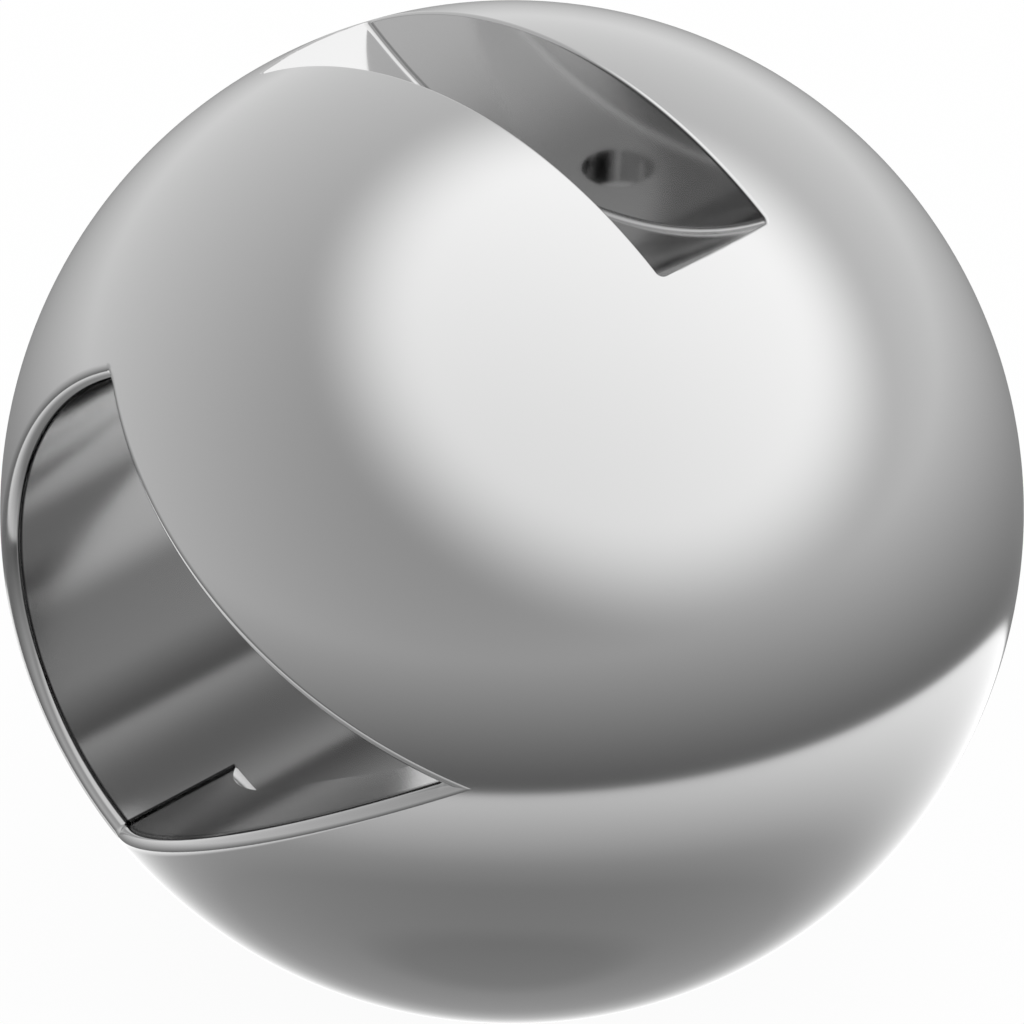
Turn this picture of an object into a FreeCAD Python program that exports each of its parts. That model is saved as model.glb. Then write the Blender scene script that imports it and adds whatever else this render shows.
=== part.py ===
"""V-port ball of a quarter-turn control valve, in millimetres.

The origin is the centre of the ball. +Z points up out of the stem slot, +X out of the V port
and +Y towards the apex of the V. The ball is one solid piece of polished stainless steel.
"""
import FreeCAD
import Part
import math
import os

# Ball and passage
ball_diameter = 85.0
bore_diameter = 50.0            # open at the back, and the same circle rounds off the V port
end_wall_thickness = 10.4       # from the ball's surface to the domed end of the bore
end_face_thickness = 14.25      # from the ball's surface to the flat in the middle of that end

# V port
port_angle = 60.0               # between the two straight sides of the V
port_corner_round = 0.6         # upright corners between the straight sides and the arc
port_rim_round = 1.0            # outer edge of the V port
bore_rim_round = 1.0            # outer edge of the bore at the back

# Stem slot
stem_tang_width = 12.0          # flats of the stem that turns the ball
tang_clearance = 0.2            # on each side of the stem's tang
slot_floor_wall = 2.9           # metal left between the bore and the lowest point of the slot
slot_cutter_radius = 41.3       # the slot's floor is this disc cutter's arc
slot_floor_round = 0.5          # along the foot of both walls of the slot
slot_rim_round = 0.25           # outer edge of the slot
vent_diameter = 6.0             # relief hole from the slot's floor to the bore

# Worked out from the sizes above
ball_radius = ball_diameter / 2
bore_radius = bore_diameter / 2
dome_radius = ball_radius - end_wall_thickness
end_face_x = ball_radius - end_face_thickness
slot_width = stem_tang_width + 2 * tang_clearance
slot_floor_z = bore_radius + slot_floor_wall
half_port_angle = math.radians(port_angle / 2)
corner_angle = math.pi - 2 * half_port_angle    # of both corners of the V, round the bore's axis
cut_past = ball_diameter                        # how far a cutter runs out past the centre
match_gap = 0.01                                # how near a point counts as lying on a surface

ORIGIN = FreeCAD.Vector(0, 0, 0)
X_AXIS = FreeCAD.Vector(1, 0, 0)
Z_AXIS = FreeCAD.Vector(0, 0, 1)


def point_on_bore(angle, x=0.0):
    """Return the point of the bore's circle at an angle from +Y towards +Z."""
    return FreeCAD.Vector(x, bore_radius * math.cos(angle), bore_radius * math.sin(angle))


def make_sphere():
    """Turn the ball about X: its poles fall in the bore and the port, and its seam lies in line with the bore's."""
    back = FreeCAD.Vector(-ball_radius, 0, 0)
    side = FreeCAD.Vector(0, -ball_radius, 0)
    front = FreeCAD.Vector(ball_radius, 0, 0)
    outline = Part.Wire([Part.Arc(back, side, front).toShape(), Part.makeLine(front, back)])
    return Part.Face(outline).revolve(ORIGIN, X_AXIS, 360)


def make_bore():
    """Turn the blind bore about X: open at the back, domed at the front with a flat middle."""
    dome_start_x = math.sqrt(dome_radius ** 2 - bore_radius ** 2)
    flat_radius = math.sqrt(dome_radius ** 2 - end_face_x ** 2)
    middle = (math.atan2(bore_radius, dome_start_x) + math.atan2(flat_radius, end_face_x)) / 2
    back_axis = FreeCAD.Vector(-cut_past, 0, 0)
    back_wall = FreeCAD.Vector(-cut_past, -bore_radius, 0)
    dome_start = FreeCAD.Vector(dome_start_x, -bore_radius, 0)
    dome_middle = FreeCAD.Vector(dome_radius * math.cos(middle), -dome_radius * math.sin(middle), 0)
    flat_edge = FreeCAD.Vector(end_face_x, -flat_radius, 0)
    flat_centre = FreeCAD.Vector(end_face_x, 0, 0)
    outline = Part.Wire([
        Part.makeLine(back_axis, back_wall),
        Part.makeLine(back_wall, dome_start),
        Part.Arc(dome_start, dome_middle, flat_edge).toShape(),
        Part.makeLine(flat_edge, flat_centre),
        Part.makeLine(flat_centre, back_axis),
    ])
    return Part.Face(outline).revolve(ORIGIN, X_AXIS, 360)


def make_v_port():
    """Extrude the sector-shaped port: apex on the bore's circle at +Y, arc on the far side."""
    apex = point_on_bore(0.0)
    upper_corner = point_on_bore(corner_angle)
    lower_corner = point_on_bore(-corner_angle)
    outline = Part.Wire([
        Part.makeLine(apex, upper_corner),
        Part.Arc(upper_corner, point_on_bore(math.pi), lower_corner).toShape(),
        Part.makeLine(lower_corner, apex),
    ])
    return Part.Face(outline).extrude(X_AXIS * cut_past)


def make_stem_slot():
    """Sink a disc cutter from above: upright walls and a floor that curves up to both ends."""
    centre = FreeCAD.Vector(-slot_width / 2, 0, slot_floor_z + slot_cutter_radius)
    return Part.makeCylinder(slot_cutter_radius, slot_width, centre, X_AXIS)


def make_vent():
    """Drill the relief hole straight down from the slot into the bore."""
    return Part.makeCylinder(vent_diameter / 2, slot_floor_z + slot_floor_wall, ORIGIN, Z_AXIS)


def sample_points(edge):
    """Return both ends and the middle of an edge."""
    first, last = edge.ParameterRange
    return [edge.valueAt(first), edge.valueAt((first + last) / 2), edge.valueAt(last)]


def every_point(edge, test):
    """Tell whether the ends and the middle of an edge all pass a test."""
    return all(test(point) for point in sample_points(edge))


def on_ball(point):
    """Tell whether a point lies on the ball's outer surface."""
    return abs(point.Length - ball_radius) < match_gap


def off_axis(point):
    """Return a point's distance from the bore's axis."""
    return math.hypot(point.y, point.z)


def on_bore(point):
    """Tell whether a point lies on the bore's wall."""
    return abs(off_axis(point) - bore_radius) < match_gap


def in_slot(point):
    """Tell whether a point lies within the stem slot's width, above the bore."""
    return abs(point.x) < slot_width / 2 + match_gap and point.z > bore_radius


def is_port_corner(edge):
    """Tell whether an edge is one of the upright corners at the ends of the port's arc."""
    start, middle, end = sample_points(edge)
    along_x = abs(end.x - start.x) > match_gap and abs(end.y - start.y) + abs(end.z - start.z) < match_gap
    return along_x and on_bore(middle) and middle.x > 0 and middle.y < 0


def is_slot_foot(edge):
    """Tell whether an edge runs along the foot of one of the slot's walls."""
    def on_foot(point):
        from_cutter = math.hypot(point.y, slot_floor_z + slot_cutter_radius - point.z)
        on_wall = abs(abs(point.x) - slot_width / 2) < match_gap
        return on_wall and abs(from_cutter - slot_cutter_radius) < match_gap
    return every_point(edge, on_foot)


def is_port_rim(edge):
    """Tell whether an edge is part of the V port's outline on the ball."""
    return every_point(edge, lambda p: on_ball(p) and p.x > 0 and off_axis(p) < bore_radius + match_gap)


def is_bore_rim(edge):
    """Tell whether an edge is part of the bore's circle on the back of the ball."""
    return every_point(edge, lambda p: on_ball(p) and p.x < 0 and on_bore(p))


def is_slot_rim(edge):
    """Tell whether an edge is part of the stem slot's outline on the ball."""
    return every_point(edge, lambda p: on_ball(p) and in_slot(p))


def round_edges(body, radius, wanted):
    """Round every edge that passes the wanted test."""
    return body.makeFillet(radius, [edge for edge in body.Edges if wanted(edge)])


def make_ball():
    """Cut the passage, the slot and the vent out of the ball, then round the edges."""
    passage = make_bore().fuse(make_v_port()).removeSplitter()
    body = make_sphere().cut(passage)
    body = round_edges(body, port_corner_round, is_port_corner)
    body = body.cut(make_stem_slot())
    body = round_edges(body, slot_floor_round, is_slot_foot)
    body = body.cut(make_vent())
    body = round_edges(body, port_rim_round, is_port_rim)
    body = round_edges(body, bore_rim_round, is_bore_rim)
    body = round_edges(body, slot_rim_round, is_slot_rim)
    return body.Solids[0]


os.makedirs("parts", exist_ok=True)
make_ball().exportStep(os.path.join("parts", "v_port_ball.step"))
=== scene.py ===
"""Dressed scene of a v-port valve ball: one polished steel ball on a pale round table."""

import logging
import math
from dataclasses import dataclass, field
from enum import Enum

import bmesh
import bpy
import numpy as np
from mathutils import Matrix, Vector


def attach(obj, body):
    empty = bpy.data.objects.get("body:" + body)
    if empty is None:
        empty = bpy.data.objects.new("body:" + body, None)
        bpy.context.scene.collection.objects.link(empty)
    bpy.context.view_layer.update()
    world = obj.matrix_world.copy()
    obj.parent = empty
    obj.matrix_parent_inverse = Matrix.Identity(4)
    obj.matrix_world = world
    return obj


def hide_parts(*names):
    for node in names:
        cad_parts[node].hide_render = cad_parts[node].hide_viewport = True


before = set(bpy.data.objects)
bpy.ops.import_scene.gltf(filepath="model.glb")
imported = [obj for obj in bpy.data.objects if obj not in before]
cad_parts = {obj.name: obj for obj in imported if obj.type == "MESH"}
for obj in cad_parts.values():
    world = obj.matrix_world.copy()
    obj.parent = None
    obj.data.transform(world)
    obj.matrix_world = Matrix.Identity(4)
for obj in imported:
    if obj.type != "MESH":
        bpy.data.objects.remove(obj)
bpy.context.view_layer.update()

BALL_RADIUS = 0.0425
MM_PER_METRE = 1000.0
GLOSSY_BOUNCES = 5
LOG = logging.getLogger("valve_ball")


def unit(vectors: np.ndarray) -> np.ndarray:
    """Scale vectors to length one.

    Args:
        vectors: Rows of vectors.

    Returns:
        Rows of unit vectors.
    """
    length = np.linalg.norm(vectors, axis=-1, keepdims=True)
    return vectors / np.maximum(length, 1e-12)


class Zone(Enum):
    """Surfaces of the ball that are finished in different ways."""

    SEAT_SPHERE = "seat_sphere"
    FLOW_PASSAGE = "flow_passage"


@dataclass
class NodeSheet:
    """A node tree with short calls for adding and joining nodes."""

    tree: bpy.types.NodeTree
    column: float = 0.0

    def add(self, kind: str, label: str, **settings: object) -> bpy.types.Node:
        """Add a node.

        Args:
            kind: Blender's name for the node type.
            label: Plain name shown on the node.
            **settings: Node properties to set.

        Returns:
            The new node.
        """
        node = self.tree.nodes.new(kind)
        node.label = label
        node.location = (self.column, 0.0)
        self.column += 190.0
        for name, value in settings.items():
            setattr(node, name, value)
        return node

    def join(self, source: bpy.types.NodeSocket, target: bpy.types.NodeSocket) -> None:
        """Link an output to an input.

        Args:
            source: Output socket.
            target: Input socket.
        """
        self.tree.links.new(source, target)

    def math(
        self, operation: str, label: str, first: object, second: object = None, third: object = None
    ) -> bpy.types.NodeSocket:
        """Add a math node.

        Args:
            operation: Blender's name for the operation.
            label: Plain name shown on the node.
            first: Socket or number for the first input.
            second: Socket or number for the second input, if the operation has one.
            third: Socket or number for the third input, if the operation has one.

        Returns:
            The result's socket.
        """
        node = self.add("ShaderNodeMath", label, operation=operation)
        for place, value in enumerate((first, second, third)):
            if value is None:
                continue
            if isinstance(value, bpy.types.NodeSocket):
                self.join(value, node.inputs[place])
            else:
                node.inputs[place].default_value = value
        return node.outputs[0]

    def smooth_range(
        self, label: str, value: bpy.types.NodeSocket, start: float, end: float, low: float, high: float
    ) -> bpy.types.NodeSocket:
        """Map a value smoothly from one range to another.

        Args:
            label: Plain name shown on the node.
            value: Socket to map.
            start: Value that gives low.
            end: Value that gives high.
            low: Result at and before start.
            high: Result at and past end.

        Returns:
            The mapped value's socket.
        """
        node = self.add("ShaderNodeMapRange", label, interpolation_type="SMOOTHSTEP")
        self.join(value, node.inputs["Value"])
        node.inputs["From Min"].default_value = start
        node.inputs["From Max"].default_value = end
        node.inputs["To Min"].default_value = low
        node.inputs["To Max"].default_value = high
        return node.outputs["Result"]

    def even_range(
        self, label: str, value: bpy.types.NodeSocket, start: float, end: float, low: float, high: float
    ) -> bpy.types.NodeSocket:
        """Map a value evenly from one range to another.

        Args:
            label: Plain name shown on the node.
            value: Socket to map.
            start: Value that gives low.
            end: Value that gives high.
            low: Result at and before start.
            high: Result at and past end.

        Returns:
            The mapped value's socket.
        """
        mapped = self.smooth_range(label, value, start, end, low, high)
        mapped.node.interpolation_type = "LINEAR"
        return mapped

    def seen(self) -> bpy.types.NodeSocket:
        """Add the share that is 1 for what is seen straight or through something clear.

        Returns:
            The share's socket.
        """
        path = self.add("ShaderNodeLightPath", "ray kind")
        straight = path.outputs["Is Camera Ray"]
        through = path.outputs["Is Transmission Ray"]
        return self.math("MAXIMUM", "seen straight or through", straight, through)


@dataclass(frozen=True)
class PhotoCamera:
    """A long-lens camera that looks down at the ball's centre."""

    azimuth: float = 134.90
    elevation: float = 31.78
    distance: float = 1.145
    half_field: float = 2.1275
    sensor_width: float = 36.0
    clip_start: float = 0.05
    clip_end: float = 20.0

    def direction(self) -> Vector:
        """Give the direction from the ball's centre to the camera.

        Returns:
            The unit vector.
        """
        turn = math.radians(self.azimuth)
        lift = math.radians(self.elevation)
        return Vector(
            (
                math.sin(turn) * math.cos(lift),
                -math.cos(turn) * math.cos(lift),
                math.sin(lift),
            )
        )

    def build(self) -> bpy.types.Object:
        """Make the camera and set it as the scene's own.

        Returns:
            The camera object.
        """
        data = bpy.data.cameras.new("photo_camera")
        data.sensor_width = self.sensor_width
        data.lens = self.sensor_width / 2.0 / math.tan(math.radians(self.half_field))
        data.clip_start = self.clip_start
        data.clip_end = self.clip_end
        camera = bpy.data.objects.new("photo_camera", data)
        toward = self.direction()
        camera.location = toward * self.distance
        camera.rotation_euler = (-toward).to_track_quat("-Z", "Y").to_euler()
        bpy.context.scene.collection.objects.link(camera)
        bpy.context.scene.camera = camera
        LOG.info("camera: azimuth %.2f, elevation %.2f", self.azimuth, self.elevation)
        return camera


@dataclass(frozen=True)
class SideBias:
    """A level that grows evenly towards one compass direction."""

    level: float
    swing: float
    azimuth: float

    def towards(self) -> Vector:
        """Give the compass direction of the brighter side.

        Returns:
            The level unit vector.
        """
        turn = math.radians(self.azimuth)
        return Vector((math.cos(turn), math.sin(turn), 0.0))


@dataclass(frozen=True)
class StudioLight:
    """Soft studio light: a wide dome overhead, grey walls that darken downwards and a pale sweep."""

    dome_azimuth: float = 102.5
    dome_elevation: float = 63.12
    dome_edge: tuple[float, float] = (0.39, 0.766)
    dome: SideBias = SideBias(1.429, 0.278, -146.5)
    wall: SideBias = SideBias(0.727, 0.228, -134.3)
    wall_lift: float = -0.202
    wall_foot: tuple[float, float] = (-0.529, -0.036)
    wall_foot_share: float = 0.264
    sweep_heights: tuple[float, ...] = (-0.985, -0.96, -0.87, -0.8, -0.72, -0.56)
    sweep_levels: tuple[float, ...] = (0.281, 0.338, 0.352, 0.467, 0.723, 1.162)
    sweep_tilt: SideBias = SideBias(0.0, 0.027, 80.1)
    sweep_side: SideBias = SideBias(1.0, 0.34, -131.1)
    sweep_edge: float = -0.5607
    sweep_edge_blur: float = 0.006

    def dome_direction(self) -> Vector:
        """Give the direction of the dome light's middle.

        Returns:
            The unit vector.
        """
        turn = math.radians(self.dome_azimuth)
        lift = math.radians(self.dome_elevation)
        level = math.cos(lift)
        return Vector((math.cos(turn) * level, math.sin(turn) * level, math.sin(lift)))

    @staticmethod
    def biased(
        sheet: NodeSheet, label: str, place: bpy.types.NodeSocket, bias: SideBias
    ) -> bpy.types.NodeSocket:
        """Add the nodes for a level that grows towards one side.

        Args:
            sheet: Node sheet to add to.
            label: Plain name for the nodes.
            place: Direction socket.
            bias: The level, its swing and its side.

        Returns:
            The level's socket.
        """
        side = sheet.add("ShaderNodeVectorMath", label + " side", operation="DOT_PRODUCT")
        side.inputs[1].default_value = bias.towards()
        sheet.join(place, side.inputs[0])
        swing = sheet.math("MULTIPLY", label + " swing", side.outputs["Value"], bias.swing)
        return sheet.math("ADD", label + " level", swing, bias.level)

    def build(self) -> bpy.types.World:
        """Make the world that lights the scene.

        Returns:
            The world.
        """
        world = bpy.data.worlds.new("soft_studio")
        world.use_nodes = True
        world.node_tree.nodes.clear()
        sheet = NodeSheet(world.node_tree)
        place = sheet.add("ShaderNodeTexCoord", "direction").outputs["Generated"]
        split = sheet.add("ShaderNodeSeparateXYZ", "height")
        sheet.join(place, split.inputs[0])
        height = split.outputs["Z"]
        wall = self.wall_nodes(sheet, place, height)
        upper = self.dome_nodes(sheet, place, wall)
        below = self.sweep_nodes(sheet, place, height)
        foot = self.sweep_edge - self.sweep_edge_blur
        head = self.sweep_edge + self.sweep_edge_blur
        part = sheet.smooth_range("above the sweep", height, foot, head, 0.0, 1.0)
        light = self.blend(sheet, "studio level", part, below, upper)
        seen = sheet.seen()
        strength = self.blend(sheet, "white behind the ball", seen, light, 1.0)
        glow = sheet.add("ShaderNodeBackground", "light")
        glow.inputs["Color"].default_value = (1.0, 1.0, 1.0, 1.0)
        sheet.join(strength, glow.inputs["Strength"])
        out = sheet.add("ShaderNodeOutputWorld", "world")
        sheet.join(glow.outputs[0], out.inputs["Surface"])
        bpy.context.scene.world = world
        LOG.info("studio light: dome %.1f degrees up", self.dome_elevation)
        return world

    @staticmethod
    def blend(
        sheet: NodeSheet, label: str, share: object, low: object, high: object
    ) -> bpy.types.NodeSocket:
        """Add a mix of two levels.

        Args:
            sheet: Node sheet to add to.
            label: Plain name for the node.
            share: Socket that is 0 for low and 1 for high.
            low: Socket or number.
            high: Socket or number.

        Returns:
            The mixed level's socket.
        """
        node = sheet.add("ShaderNodeMix", label, data_type="FLOAT")
        for place, value in ((0, share), (2, low), (3, high)):
            if isinstance(value, bpy.types.NodeSocket):
                sheet.join(value, node.inputs[place])
            else:
                node.inputs[place].default_value = value
        return node.outputs[0]

    def wall_nodes(
        self, sheet: NodeSheet, place: bpy.types.NodeSocket, height: bpy.types.NodeSocket
    ) -> bpy.types.NodeSocket:
        """Add the walls, which darken towards their foot.

        Args:
            sheet: Node sheet to add to.
            place: Direction socket.
            height: Socket of the direction's height.

        Returns:
            The walls' level.
        """
        level = self.biased(sheet, "wall", place, self.wall)
        high_part = sheet.math("MAXIMUM", "height over the horizon", height, 0.0)
        lift = sheet.math("MULTIPLY", "wall lift", high_part, self.wall_lift)
        lifted = sheet.math("ADD", "lifted wall", level, lift)
        foot = sheet.even_range(
            "wall foot", height, self.wall_foot[0], self.wall_foot[1], self.wall_foot_share, 1.0
        )
        return sheet.math("MULTIPLY", "wall", lifted, foot)

    def dome_nodes(
        self, sheet: NodeSheet, place: bpy.types.NodeSocket, wall: bpy.types.NodeSocket
    ) -> bpy.types.NodeSocket:
        """Add the dome light over the walls.

        Args:
            sheet: Node sheet to add to.
            place: Direction socket.
            wall: The walls' level.

        Returns:
            The level of walls and dome together.
        """
        facing = sheet.add("ShaderNodeVectorMath", "towards the dome", operation="DOT_PRODUCT")
        facing.inputs[1].default_value = self.dome_direction()
        sheet.join(place, facing.inputs[0])
        inside = sheet.smooth_range(
            "inside the dome", facing.outputs["Value"], self.dome_edge[0], self.dome_edge[1], 0.0, 1.0
        )
        level = self.biased(sheet, "dome", place, self.dome)
        return self.blend(sheet, "walls and dome", inside, wall, level)

    def sweep_nodes(
        self, sheet: NodeSheet, place: bpy.types.NodeSocket, height: bpy.types.NodeSocket
    ) -> bpy.types.NodeSocket:
        """Add the pale sweep, which is brightest at its far edge.

        Args:
            sheet: Node sheet to add to.
            place: Direction socket.
            height: Socket of the direction's height.

        Returns:
            The sweep's level.
        """
        tilt = self.biased(sheet, "sweep tilt", place, self.sweep_tilt)
        tilted = sheet.math("ADD", "tilted height", height, tilt)
        lowest = self.sweep_heights[0]
        span = self.sweep_heights[-1] - lowest
        reach = sheet.even_range("towards the sweep's edge", tilted, lowest, lowest + span, 0.0, 1.0)
        profile = sheet.add("ShaderNodeValToRGB", "sweep profile")
        sheet.join(reach, profile.inputs["Fac"])
        brightest = self.sweep_levels[-1]
        stops = profile.color_ramp.elements
        shares = [level / brightest for level in self.sweep_levels]
        stops[0].color = (shares[0], shares[0], shares[0], 1.0)
        stops[1].color = (1.0, 1.0, 1.0, 1.0)
        for rise, share in zip(self.sweep_heights[1:-1], shares[1:-1]):
            stop = stops.new((rise - lowest) / span)
            stop.color = (share, share, share, 1.0)
        side = self.biased(sheet, "sweep side", place, self.sweep_side)
        glow = sheet.math("MULTIPLY", "sweep glow", profile.outputs["Color"], side)
        return sheet.math("MULTIPLY", "sweep", glow, brightest)


@dataclass(frozen=True)
class PaleTable:
    """A round pale table under the ball, part of the set and not of the object."""

    radius: float = 0.9
    thickness: float = 0.004
    edge_round: float = 0.0015
    edge_steps: int = 4
    sides: int = 256
    touch: float = 1e-7
    shade: tuple[float, float, float, float] = (0.86, 0.86, 0.86, 1.0)
    camera_white: float = 0.95

    def build(self) -> bpy.types.Object:
        """Make the table with its top just under the ball.

        Returns:
            The table object.
        """
        mesh = bpy.data.meshes.new("pale_table")
        shape = bmesh.new()
        top = -BALL_RADIUS
        rim = bmesh.ops.create_circle(shape, cap_ends=True, radius=self.radius, segments=self.sides)
        bmesh.ops.translate(shape, vec=(0.0, 0.0, top), verts=rim["verts"])
        side = bmesh.ops.extrude_face_region(shape, geom=list(shape.faces))
        lowered = [item for item in side["geom"] if isinstance(item, bmesh.types.BMVert)]
        bmesh.ops.translate(shape, vec=(0.0, 0.0, -self.thickness), verts=lowered)
        bmesh.ops.recalc_face_normals(shape, faces=shape.faces)
        upper = [
            edge for edge in shape.edges if all(abs(end.co.z - top) < self.touch for end in edge.verts)
        ]
        bmesh.ops.bevel(
            shape,
            geom=upper,
            offset=self.edge_round,
            segments=self.edge_steps,
            profile=0.5,
            affect="EDGES",
            material=-1,
        )
        shape.to_mesh(mesh)
        shape.free()
        table = bpy.data.objects.new("pale_table", mesh)
        bpy.context.scene.collection.objects.link(table)
        table.visible_glossy = False
        return table

    def dress(self, table: bpy.types.Object) -> None:
        """Give the table a pale matt finish that the camera sees as near white.

        Args:
            table: The table object.
        """
        material = bpy.data.materials.new("pale_table")
        material.use_nodes = True
        material.node_tree.nodes.clear()
        sheet = NodeSheet(material.node_tree)
        matt = sheet.add("ShaderNodeBsdfDiffuse", "matt top")
        matt.inputs["Color"].default_value = self.shade
        white = sheet.add("ShaderNodeEmission", "plain white")
        white.inputs["Color"].default_value = (1.0, 1.0, 1.0, 1.0)
        seen = sheet.seen()
        share = sheet.math("MULTIPLY", "share of plain white", seen, self.camera_white)
        mix = sheet.add("ShaderNodeMixShader", "table")
        sheet.join(share, mix.inputs[0])
        sheet.join(matt.outputs[0], mix.inputs[1])
        sheet.join(white.outputs[0], mix.inputs[2])
        out = sheet.add("ShaderNodeOutputMaterial", "surface")
        sheet.join(mix.outputs[0], out.inputs["Surface"])
        table.data.materials.append(material)
        LOG.info("pale table: radius %.0f mm", self.radius * MM_PER_METRE)


@dataclass(frozen=True)
class PolishedSteel:
    """Stainless steel: lapped sphere, honed passage with painted shade over its walls and a painted
    sheen at a glancing view, and painted shade lines under the rims and in the corners.
    """

    base_tone: tuple[float, float, float, float] = (0.575, 0.575, 0.575, 1.0)
    bright_tone: tuple[float, float, float, float] = (0.585, 0.585, 0.585, 1.0)
    # Painted shade over the passage walls, and the painted sheen that brightens them at a glancing
    # view.
    passage_shade_share: float = 0.725
    glance_sheen_gain: float = 1.03
    passage_band: tuple[float, float] = (0.0254, 0.0251)
    sphere_band: tuple[float, float] = (0.0417, 0.0424)
    # Painted shade: a dark strip under the passage's rims, and its tone.
    rim_shade_strip: tuple[float, float, float, float] = (0.04078, 0.0409, 0.04105, 0.0412)
    rim_shade_tone: float = 0.35
    # Painted shade in the creases of the port's two corners: place, width, start, end and tone.
    corner_place: tuple[float, float, float] = (0.0, -0.0125, 0.02156)
    corner_shade_reach: tuple[float, float] = (0.0002, 0.00033)
    corner_start: tuple[float, float] = (0.0200, 0.0202)
    corner_end: tuple[float, float] = (0.04105, 0.0412)
    corner_shade_tone: float = 0.2
    # Painted shade: a dark strip under the slot's long rims, where along the slot it runs, and its
    # tone.
    slot_shade_strip: tuple[float, float, float, float] = (0.04212, 0.0422, 0.04232, 0.0424)
    slot_shade_side: tuple[float, float] = (0.00595, 0.0061)
    slot_shade_run: tuple[float, float] = (-0.002, 0.006)
    slot_shade_tone: float = 0.4
    roughness: dict[Zone, float] = field(
        default_factory=lambda: {Zone.SEAT_SPHERE: 0.105, Zone.FLOW_PASSAGE: 0.11}
    )
    gloss_drift: float = 0.006
    cloud_scale: float = 45.0
    cloud_detail: float = 3.0

    def build(self) -> bpy.types.Material:
        """Make the steel material.

        Returns:
            The material.
        """
        material = bpy.data.materials.new("polished_steel")
        material.use_nodes = True
        material.node_tree.nodes.clear()
        sheet = NodeSheet(material.node_tree)
        place = sheet.add("ShaderNodeTexCoord", "place on the ball").outputs["Object"]
        split = sheet.add("ShaderNodeSeparateXYZ", "along the bore")
        sheet.join(place, split.inputs[0])
        reach = self.length(sheet, "distance from centre", place)
        inner, outer = self.sphere_band
        outside = sheet.smooth_range("on the sphere", reach, inner, outer, 0.0, 1.0)
        near = self.near_passage(sheet, split)
        cloud = sheet.add("ShaderNodeTexNoise", "lapping clouds")
        cloud.inputs["Scale"].default_value = self.cloud_scale
        cloud.inputs["Detail"].default_value = self.cloud_detail
        sheet.join(place, cloud.inputs["Vector"])
        tone = sheet.add("ShaderNodeMix", "steel tone", data_type="RGBA")
        sheet.join(cloud.outputs["Fac"], tone.inputs["Factor"])
        tone.inputs[6].default_value = self.base_tone
        tone.inputs[7].default_value = self.bright_tone
        # Painted shade over the passage walls, with a painted sheen at a glancing view.
        wall = self.passage_painted_shade(sheet, near, outside)
        # Painted shade lines under the passage's rims, in the port's corners and under the slot's rims.
        rim = self.painted_rim_shade(sheet, reach, near)
        corner = self.painted_corner_shade(sheet, split, reach)
        slot = self.painted_slot_shade(sheet, split, reach)
        # Multiply the painted shade lines together, then into the passage's painted shade.
        lines = sheet.math("MULTIPLY", "rim and corner lines", rim, corner)
        dark = sheet.math("MULTIPLY", "all dark lines", lines, slot)
        whole = sheet.math("MULTIPLY", "tone with the dark lines", wall, dark)
        shade = sheet.add("ShaderNodeVectorMath", "steel tone by surface", operation="SCALE")
        sheet.join(tone.outputs[2], shade.inputs[0])
        sheet.join(whole, shade.inputs["Scale"])
        steel = sheet.add("ShaderNodeBsdfPrincipled", "steel")
        steel.inputs["Metallic"].default_value = 1.0
        sheet.join(shade.outputs[0], steel.inputs["Base Color"])
        sheet.join(self.gloss(sheet, outside, cloud.outputs["Fac"]), steel.inputs["Roughness"])
        out = sheet.add("ShaderNodeOutputMaterial", "surface")
        sheet.join(steel.outputs[0], out.inputs["Surface"])
        return material

    @staticmethod
    def length(sheet: NodeSheet, label: str, place: bpy.types.NodeSocket) -> bpy.types.NodeSocket:
        """Add the length of a vector.

        Args:
            sheet: Node sheet to add to.
            label: Plain name for the node.
            place: Vector socket.

        Returns:
            The length's socket.
        """
        node = sheet.add("ShaderNodeVectorMath", label, operation="LENGTH")
        sheet.join(place, node.inputs[0])
        return node.outputs["Value"]

    @staticmethod
    def strip(
        sheet: NodeSheet,
        label: str,
        place: bpy.types.NodeSocket,
        limits: tuple[float, float, float, float],
    ) -> bpy.types.NodeSocket:
        """Add a strip that is 1 between two limits and fades to 0 outside them.

        Args:
            sheet: Node sheet to add to.
            label: Plain name for the nodes.
            place: Socket of the value the limits belong to.
            limits: Start, full, fade and end of the strip.

        Returns:
            The strip's socket.
        """
        start, full, fade, end = limits
        rise = sheet.smooth_range(label + " starts", place, start, full, 0.0, 1.0)
        fall = sheet.smooth_range(label + " ends", place, fade, end, 1.0, 0.0)
        return sheet.math("MULTIPLY", label, rise, fall)

    def near_passage(self, sheet: NodeSheet, split: bpy.types.Node) -> bpy.types.NodeSocket:
        """Add the share that is 1 inside the bore's radius.

        Args:
            sheet: Node sheet to add to.
            split: Node that splits the place on the ball.

        Returns:
            The share's socket.
        """
        ring = sheet.add("ShaderNodeCombineXYZ", "across the bore")
        sheet.join(split.outputs["Y"], ring.inputs["Y"])
        sheet.join(split.outputs["Z"], ring.inputs["Z"])
        spoke = self.length(sheet, "distance from the bore's axis", ring.outputs[0])
        outer, inner = self.passage_band
        return sheet.smooth_range("in the passage", spoke, outer, inner, 0.0, 1.0)

    def passage_painted_shade(
        self, sheet: NodeSheet, near: bpy.types.NodeSocket, outside: bpy.types.NodeSocket
    ) -> bpy.types.NodeSocket:
        """Add painted shade over the passage walls, which turns into a painted sheen at a glancing
        view.

        Args:
            sheet: Node sheet to add to.
            near: Share that is 1 inside the bore's radius.
            outside: Share that is 1 on the sphere.

        Returns:
            The tone's socket.
        """
        under = sheet.math("SUBTRACT", "not on the sphere", 1.0, outside)
        inside = sheet.math("MULTIPLY", "passage wall", near, under)
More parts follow.
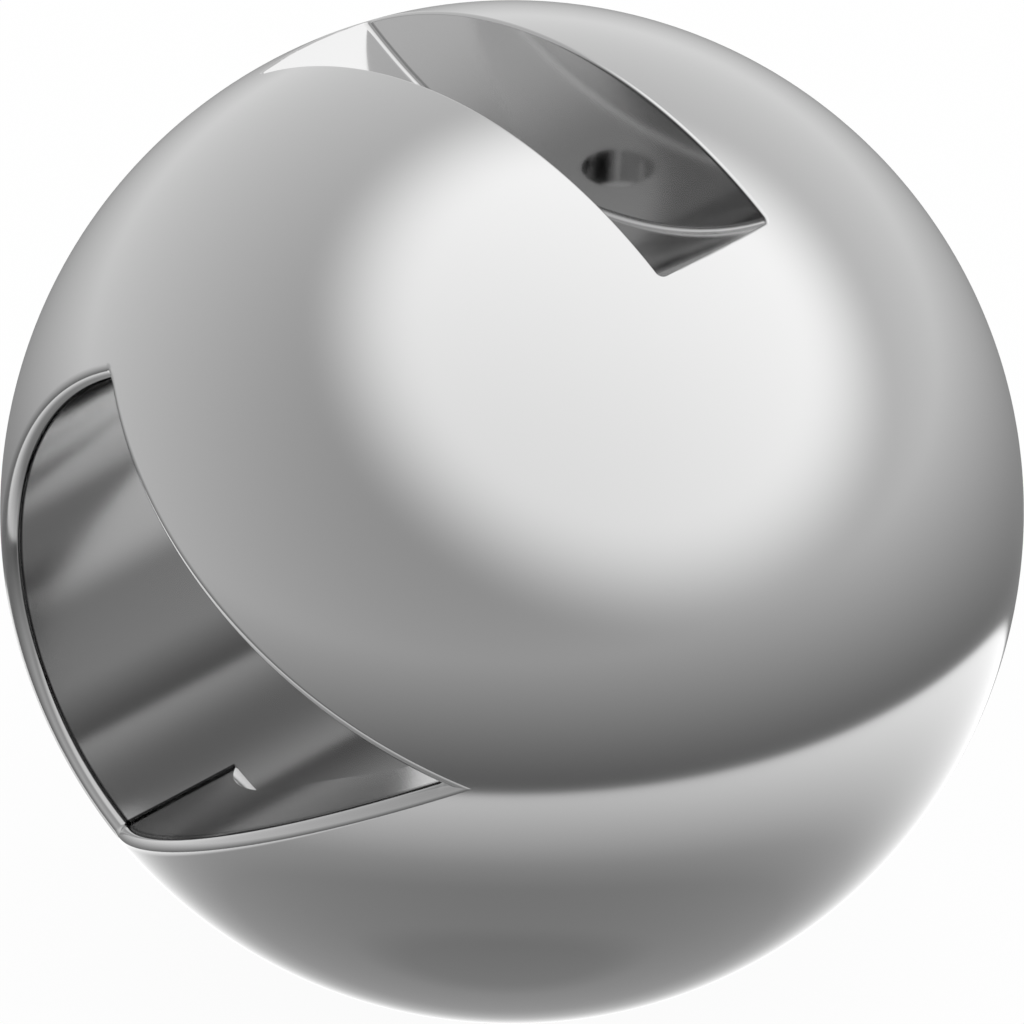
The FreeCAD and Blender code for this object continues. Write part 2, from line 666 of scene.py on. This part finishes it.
        # Painted sheen: the passage walls brighten towards a glancing view.
        glance = sheet.add("ShaderNodeLayerWeight", "glancing view").outputs["Facing"]
        gain = sheet.math("MULTIPLY", "glancing squared", glance, glance)
        passage_level = sheet.math("MULTIPLY_ADD", "honed wall", gain, self.glance_sheen_gain, self.passage_shade_share)
        share = sheet.add("ShaderNodeMix", "tone by surface", data_type="FLOAT")
        sheet.join(inside, share.inputs[0])
        share.inputs[2].default_value = 1.0
        sheet.join(passage_level, share.inputs[3])
        return share.outputs[0]

    def painted_rim_shade(
        self, sheet: NodeSheet, reach: bpy.types.NodeSocket, near: bpy.types.NodeSocket
    ) -> bpy.types.NodeSocket:
        """Add painted shade: a dark line under the rims of the passage, where the rounds meet the
        walls.

        Args:
            sheet: Node sheet to add to.
            reach: Distance from the ball's centre.
            near: Share that is 1 inside the bore's radius.

        Returns:
            The line's tone.
        """
        # Painted shade where the rim's round meets the wall.
        strip = self.strip(sheet, "strip under the rim", reach, self.rim_shade_strip)
        line = sheet.math("MULTIPLY", "rim line", strip, near)
        return sheet.math("MULTIPLY_ADD", "rim line tone", line, self.rim_shade_tone - 1.0, 1.0)

    def painted_corner_shade(
        self, sheet: NodeSheet, split: bpy.types.Node, reach: bpy.types.NodeSocket
    ) -> bpy.types.NodeSocket:
        """Add painted shade: a dark line in the crease of the port's two corners, where its flat sides
        meet its round side.

        Args:
            sheet: Node sheet to add to.
            split: Node that splits the place on the ball.
            reach: Distance from the ball's centre.

        Returns:
            The line's tone.
        """
        height = sheet.math("ABSOLUTE", "height above or below the bore", split.outputs["Z"])
        across = sheet.add("ShaderNodeCombineXYZ", "place across the port")
        sheet.join(split.outputs["Y"], across.inputs["Y"])
        sheet.join(height, across.inputs["Z"])
        apart = sheet.add("ShaderNodeVectorMath", "distance from the corner", operation="DISTANCE")
        sheet.join(across.outputs[0], apart.inputs[0])
        apart.inputs[1].default_value = self.corner_place
        full, end = self.corner_shade_reach
        close = sheet.smooth_range("in the corner", apart.outputs["Value"], full, end, 1.0, 0.0)
        start, ahead = self.corner_start
        front = sheet.smooth_range("in the port", split.outputs["X"], start, ahead, 0.0, 1.0)
        fade, stop = self.corner_end
        below = sheet.smooth_range("under the port's rim", reach, fade, stop, 1.0, 0.0)
        # Painted shade in the corner's crease.
        share = sheet.math("MULTIPLY", "corner in the port", close, front)
        line = sheet.math("MULTIPLY", "corner line", share, below)
        return sheet.math("MULTIPLY_ADD", "corner line tone", line, self.corner_shade_tone - 1.0, 1.0)

    def painted_slot_shade(
        self, sheet: NodeSheet, split: bpy.types.Node, reach: bpy.types.NodeSocket
    ) -> bpy.types.NodeSocket:
        """Add painted shade: a dark line under the slot's long rims.

        Args:
            sheet: Node sheet to add to.
            split: Node that splits the place on the ball.
            reach: Distance from the ball's centre.

        Returns:
            The line's tone.
        """
        strip = self.strip(sheet, "strip under the slot's rim", reach, self.slot_shade_strip)
        side = sheet.math("ABSOLUTE", "distance from the slot's middle", split.outputs["X"])
        out_from, out_to = self.slot_shade_side
        wall = sheet.smooth_range("on the slot's wall", side, out_from, out_to, 0.0, 1.0)
        run_from, run_to = self.slot_shade_run
        run = sheet.smooth_range("along the slot", split.outputs["Y"], run_from, run_to, 0.0, 1.0)
        top = sheet.math("GREATER_THAN", "on top of the ball", split.outputs["Z"], BALL_RADIUS / 2.0)
        beside = sheet.math("MULTIPLY", "on the wall and on top", wall, top)
        along = sheet.math("MULTIPLY", "the line's run", beside, run)
        # Painted shade under the slot's rim.
        line = sheet.math("MULTIPLY", "slot line", strip, along)
        return sheet.math("MULTIPLY_ADD", "slot line tone", line, self.slot_shade_tone - 1.0, 1.0)

    def gloss(
        self, sheet: NodeSheet, outside: bpy.types.NodeSocket, cloud: bpy.types.NodeSocket
    ) -> bpy.types.NodeSocket:
        """Add the roughness, which drifts a little from place to place.

        Args:
            sheet: Node sheet to add to.
            outside: Share that is 1 on the sphere.
            cloud: Soft pattern from 0 to 1.

        Returns:
            The roughness socket.
        """
        passage_level = self.roughness[Zone.FLOW_PASSAGE]
        lapped = self.roughness[Zone.SEAT_SPHERE]
        level = sheet.even_range("gloss by surface", outside, 0.0, 1.0, passage_level, lapped)
        drift = sheet.even_range("gloss drift", cloud, 0.0, 1.0, -self.gloss_drift, self.gloss_drift)
        return sheet.math("ADD", "roughness", level, drift)


@dataclass(frozen=True)
class Flat:
    """A plane: facing is its outward direction, level its distance from the ball's centre along it."""

    direction: tuple[float, float, float]
    level: float

    def nearest(self, places: np.ndarray) -> np.ndarray:
        """Give the points of the surface that are nearest to some places.

        Args:
            places: Rows of places.

        Returns:
            Rows of points on the surface.
        """
        normal = np.array(self.direction)
        return places - (places @ normal - self.level)[..., None] * normal

    def facing(self, places: np.ndarray) -> np.ndarray:
        """Give the outward direction of the surface at some places.

        Args:
            places: Rows of places.

        Returns:
            Rows of unit vectors.
        """
        return np.broadcast_to(np.array(self.direction), places.shape)


@dataclass(frozen=True)
class Round:
    """A sphere about the ball's centre: side is 1 with metal inside it and -1 with metal around it."""

    radius: float
    side: float

    def nearest(self, places: np.ndarray) -> np.ndarray:
        """Give the points of the surface that are nearest to some places.

        Args:
            places: Rows of places.

        Returns:
            Rows of points on the surface.
        """
        return unit(places) * self.radius

    def facing(self, places: np.ndarray) -> np.ndarray:
        """Give the outward direction of the surface at some places.

        Args:
            places: Rows of places.

        Returns:
            Rows of unit vectors.
        """
        return unit(places) * self.side


@dataclass(frozen=True)
class Tube:
    """A round tube along one axis: side is 1 with metal inside it and -1 with metal around it."""

    middle: tuple[float, float, float]
    axis: tuple[float, float, float]
    radius: float
    side: float

    def spoke(self, places: np.ndarray) -> np.ndarray:
        """Give the vectors from the axis to some places.

        Args:
            places: Rows of places.

        Returns:
            Rows of vectors.
        """
        along = np.array(self.axis)
        offset = places - np.array(self.middle)
        return offset - (offset @ along)[..., None] * along

    def nearest(self, places: np.ndarray) -> np.ndarray:
        """Give the points of the surface that are nearest to some places.

        Args:
            places: Rows of places.

        Returns:
            Rows of points on the surface.
        """
        spoke = self.spoke(places)
        return places - spoke + unit(spoke) * self.radius

    def facing(self, places: np.ndarray) -> np.ndarray:
        """Give the outward direction of the surface at some places.

        Args:
            places: Rows of places.

        Returns:
            Rows of unit vectors.
        """
        return unit(self.spoke(places)) * self.side


@dataclass(frozen=True)
class Ring(Tube):
    """A round edge or corner: a tube bent into a circle about its axis."""

    circle: float

    def spoke(self, places: np.ndarray) -> np.ndarray:
        """Give the vectors from the circle to some places.

        Args:
            places: Rows of places.

        Returns:
            Rows of vectors.
        """
        offset = places - np.array(self.middle)
        return offset - unit(super().spoke(places)) * self.circle


Surface = Flat | Round | Tube


@dataclass(frozen=True)
class BallSurfaces:
    """The exact surfaces of the ball, from its sizes in metres."""

    ball: float = 0.0425
    bore: float = 0.025
    dome: float = 0.0321
    end_face: float = 0.02825
    port_angle: float = 60.0
    corner_round: float = 0.0006
    rim_round: float = 0.001
    slot_half: float = 0.0062
    slot_floor: float = 0.0279
    slot_cutter: float = 0.0413
    floor_round: float = 0.0005
    slot_rim_round: float = 0.00025
    vent: float = 0.003

    def port(self) -> list[Surface]:
        """Give both sides of the V, their rims and the rounds in the corners.

        Returns:
            The surfaces.
        """
        found: list[Surface] = []
        lean = math.radians(90.0 - self.port_angle / 2.0)
        for sign in (-1.0, 1.0):
            out = (0.0, -math.cos(lean), sign * math.sin(lean))
            level = out[1] * self.bore
            found.append(Flat(out, level))
            found.append(self.rim_of(out, level, self.rim_round))
            inward = level + self.corner_round
            reach = math.sqrt((self.bore - self.corner_round) ** 2 - inward**2)
            across = out[1] * inward - math.sin(lean) * reach
            up = out[2] * inward - sign * math.cos(lean) * reach
            found.append(Tube((0.0, across, up), (1.0, 0.0, 0.0), self.corner_round, -1.0))
        return found

    def rim_of(self, out: tuple[float, float, float], level: float, rounding: float) -> Ring:
        """Give the round between the sphere and a flat wall.

        Args:
            out: Outward direction of the wall.
            level: Distance of the wall from the ball's centre along it.
            rounding: Radius of the round.

        Returns:
            The round.
        """
        depth = level - rounding
        circle = math.sqrt((self.ball - rounding) ** 2 - depth**2)
        middle = (out[0] * depth, out[1] * depth, out[2] * depth)
        return Ring(middle, out, rounding, 1.0, circle)

    def slot(self) -> list[Surface]:
        """Give the slot's floor, walls, rims and foot rounds.

        Returns:
            The surfaces.
        """
        centre = self.slot_floor + self.slot_cutter
        found: list[Surface] = [Tube((0.0, 0.0, centre), (1.0, 0.0, 0.0), self.slot_cutter, -1.0)]
        for sign in (-1.0, 1.0):
            out = (-sign, 0.0, 0.0)
            found.append(Flat(out, -self.slot_half))
            found.append(self.rim_of(out, -self.slot_half, self.slot_rim_round))
            side = sign * (self.slot_half - self.floor_round)
            circle = self.slot_cutter - self.floor_round
            found.append(Ring((side, 0.0, centre), (1.0, 0.0, 0.0), self.floor_round, -1.0, circle))
        return found

    def passage(self) -> list[Surface]:
        """Give the bore, its domed end, the flat in it, the round rims and the vent.

        Returns:
            The surfaces.
        """
        rim_circle = self.bore + self.rim_round
        rim_place = math.sqrt((self.ball - self.rim_round) ** 2 - rim_circle**2)
        return [
            Tube((0.0, 0.0, 0.0), (1.0, 0.0, 0.0), self.bore, -1.0),
            Round(self.dome, -1.0),
            Flat((-1.0, 0.0, 0.0), -self.end_face),
            Ring((rim_place, 0.0, 0.0), (1.0, 0.0, 0.0), self.rim_round, 1.0, rim_circle),
            Ring((-rim_place, 0.0, 0.0), (1.0, 0.0, 0.0), self.rim_round, 1.0, rim_circle),
            Tube((0.0, 0.0, 0.0), (0.0, 0.0, 1.0), self.vent, -1.0),
        ]

    def every(self) -> list[Surface]:
        """Give every surface of the ball.

        Returns:
            The surfaces.
        """
        return [Round(self.ball, 1.0), *self.port(), *self.slot(), *self.passage()]


@dataclass
class FineSkin:
    """A finer copy of the ball's triangles, laid on its exact surfaces."""

    source: bpy.types.Mesh
    surfaces: list[Surface]
    weld_step: float = 1e-6
    reach: float = 6e-6
    lean: float = 0.2
    passes: int = 8

    def corners(self) -> tuple[np.ndarray, np.ndarray, np.ndarray]:
        """Read the triangles, with corners at one place merged and triangles without area left out.

        Returns:
            Places, triangle corner numbers and the surface direction at each corner.
        """
        count = len(self.source.vertices)
        places = np.zeros(count * 3)
        self.source.vertices.foreach_get("co", places)
        places = places.reshape(-1, 3)
        numbers = np.zeros(len(self.source.loops), dtype=np.int64)
        self.source.loops.foreach_get("vertex_index", numbers)
        facing = np.zeros(len(self.source.loops) * 3)
        self.source.corner_normals.foreach_get("vector", facing)
        steps = np.round(places / self.weld_step).astype(np.int64)
        _, first, merged = np.unique(steps, axis=0, return_index=True, return_inverse=True)
        triangles = merged.reshape(-1)[numbers].reshape(-1, 3)
        whole = (triangles != np.roll(triangles, 1, axis=1)).all(axis=1)
        return places[first], triangles[whole], facing.reshape(-1, 3, 3)[whole]

    def sort_out(self, places: np.ndarray, triangles: np.ndarray) -> np.ndarray:
        """Find the exact surface that each triangle lies on.

        Args:
            places: Corner places.
            triangles: Corner numbers.

        Returns:
            The number of the surface, or -1 for a triangle on none of them.
        """
        at = places[triangles]
        flat = unit(np.cross(at[:, 1] - at[:, 0], at[:, 2] - at[:, 0]))
        centre = at.mean(axis=1)
        best = np.full(len(triangles), self.lean)
        chosen = np.full(len(triangles), -1)
        for number, surface in enumerate(self.surfaces):
            gap = np.linalg.norm(surface.nearest(at) - at, axis=2).max(axis=1)
            agrees = (surface.facing(centre) * flat).sum(axis=1)
            better = (gap < self.reach) & (agrees > best)
            best = np.where(better, agrees, best)
            chosen = np.where(better, number, chosen)
        return chosen

    def lay(self, places: np.ndarray, one: np.ndarray, two: np.ndarray) -> np.ndarray:
        """Move places onto the surfaces of the two triangles that share them.

        Args:
            places: Places to move.
            one: Surface number of the first triangle.
            two: Surface number of the second triangle.

        Returns:
            The moved places.
        """
        moved = places.copy()
        for _ in range(self.passes):
            for side in (one, two):
                for number, surface in enumerate(self.surfaces):
                    here = side == number
                    moved[here] = surface.nearest(moved[here])
        return moved

    @staticmethod
    def quarters(
        a: np.ndarray, b: np.ndarray, c: np.ndarray, ab: np.ndarray, bc: np.ndarray, ca: np.ndarray
    ) -> np.ndarray:
        """Join corners and side middles into four triangles each.

        Args:
            a: What belongs to the first corners.
            b: What belongs to the second corners.
            c: What belongs to the third corners.
            ab: What belongs to the middles between first and second corners.
            bc: What belongs to the middles between second and third corners.
            ca: What belongs to the middles between third and first corners.

        Returns:
            The finer triangles: corner quarters first, middle quarters last.
        """
        parts = ((a, ab, ca), (ab, b, bc), (ca, bc, c), (ab, bc, ca))
        return np.concatenate([np.stack(part, axis=1) for part in parts])

    def refine(
        self, places: np.ndarray, triangles: np.ndarray, facing: np.ndarray
    ) -> tuple[np.ndarray, np.ndarray, np.ndarray]:
        """Split every triangle into four and lay them on the exact surfaces.

        Args:
            places: Corner places.
            triangles: Corner numbers.
            facing: Surface directions at the corners.

        Returns:
            The finer places, corner numbers and surface directions.
        """
        surface = self.sort_out(places, triangles)
        count = len(triangles)
        sides = np.concatenate([triangles[:, [0, 1]], triangles[:, [1, 2]], triangles[:, [2, 0]]])
        _, owner = np.unique(np.sort(sides, axis=1), axis=0, return_inverse=True)
        owner = owner.reshape(-1)
        edges = int(owner.max()) + 1
        centre = np.zeros((edges, 3))
        centre[owner] = (places[sides[:, 0]] + places[sides[:, 1]]) / 2.0
        on = np.tile(surface, 3)
        first = np.full(edges, -2)
        last = np.full(edges, -2)
        first[owner[::-1]] = on[::-1]
        last[owner] = on
        centre = self.lay(centre, first, last)
        ab, bc, ca = (owner[part * count : (part + 1) * count] + len(places) for part in range(3))
        a, b, c = triangles.T
        fine = self.quarters(a, b, c, ab, bc, ca)
        na, nb, nc = facing[:, 0], facing[:, 1], facing[:, 2]
        nab, nbc, nca = unit(na + nb), unit(nb + nc), unit(nc + na)
        kept = self.quarters(na, nb, nc, nab, nbc, nca)
        all_places = np.concatenate([places, centre])
        for number, exact in enumerate(self.surfaces):
            here = np.tile(surface, 4) == number
            kept[here] = exact.facing(all_places[fine[here]])
        LOG.info("triangles on no exact surface: %d of %d", int((surface < 0).sum()), count)
        return all_places, fine, kept

    def build(self, name: str) -> bpy.types.Object:
        """Make the finer copy.

        Args:
            name: Name of the new piece.

        Returns:
            The new object.
        """
        places, triangles, facing = self.refine(*self.corners())
        mesh = bpy.data.meshes.new(name)
        mesh.from_pydata(places.tolist(), [], triangles.tolist())
        mesh.shade_smooth()
        mesh.normals_split_custom_set(facing.reshape(-1, 3).tolist())
        skin = bpy.data.objects.new(name, mesh)
        bpy.context.scene.collection.objects.link(skin)
        LOG.info("%s: %d triangles", name, len(mesh.polygons))
        return skin


@dataclass
class ValveBall:
    """The ball itself: a fine skin over the solid, in polished steel."""

    node: str = "v_port_ball"
    piece: str = "ball_skin"
    finish: str = "polished_steel"
    steel: PolishedSteel = field(default_factory=PolishedSteel)

    def build(self) -> bpy.types.Object:
        """Make the ball's skin from its solid.

        Returns:
            The skin object, which stands for the solid.
        """
        skin = FineSkin(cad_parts[self.node].data, BallSurfaces().every()).build(self.piece)
        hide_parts(self.node)
        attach(skin, "root")
        return skin

    def dress(self, ball: bpy.types.Object) -> None:
        """Give the ball its polished steel.

        Args:
            ball: The ball's skin.
        """
        ball.data.materials.clear()
        ball.data.materials.append(self.steel.build())
        LOG.info("%s: polished steel", ball.name)


def save_sizes() -> None:
    """Log that the set and the ball are built."""
    LOG.info("sizes written")


def main() -> None:
    """Build the set and the ball, in order."""
    logging.basicConfig(level=logging.INFO, format="%(name)s: %(message)s")
    bpy.context.scene.view_settings.view_transform = "Standard"
    bpy.context.scene.cycles.glossy_bounces = GLOSSY_BOUNCES
    PhotoCamera().build()
    StudioLight().build()
    table = PaleTable()
    table.dress(table.build())
    ball = ValveBall()
    ball.dress(ball.build())
    save_sizes()


if __name__ == "__main__":
    main()
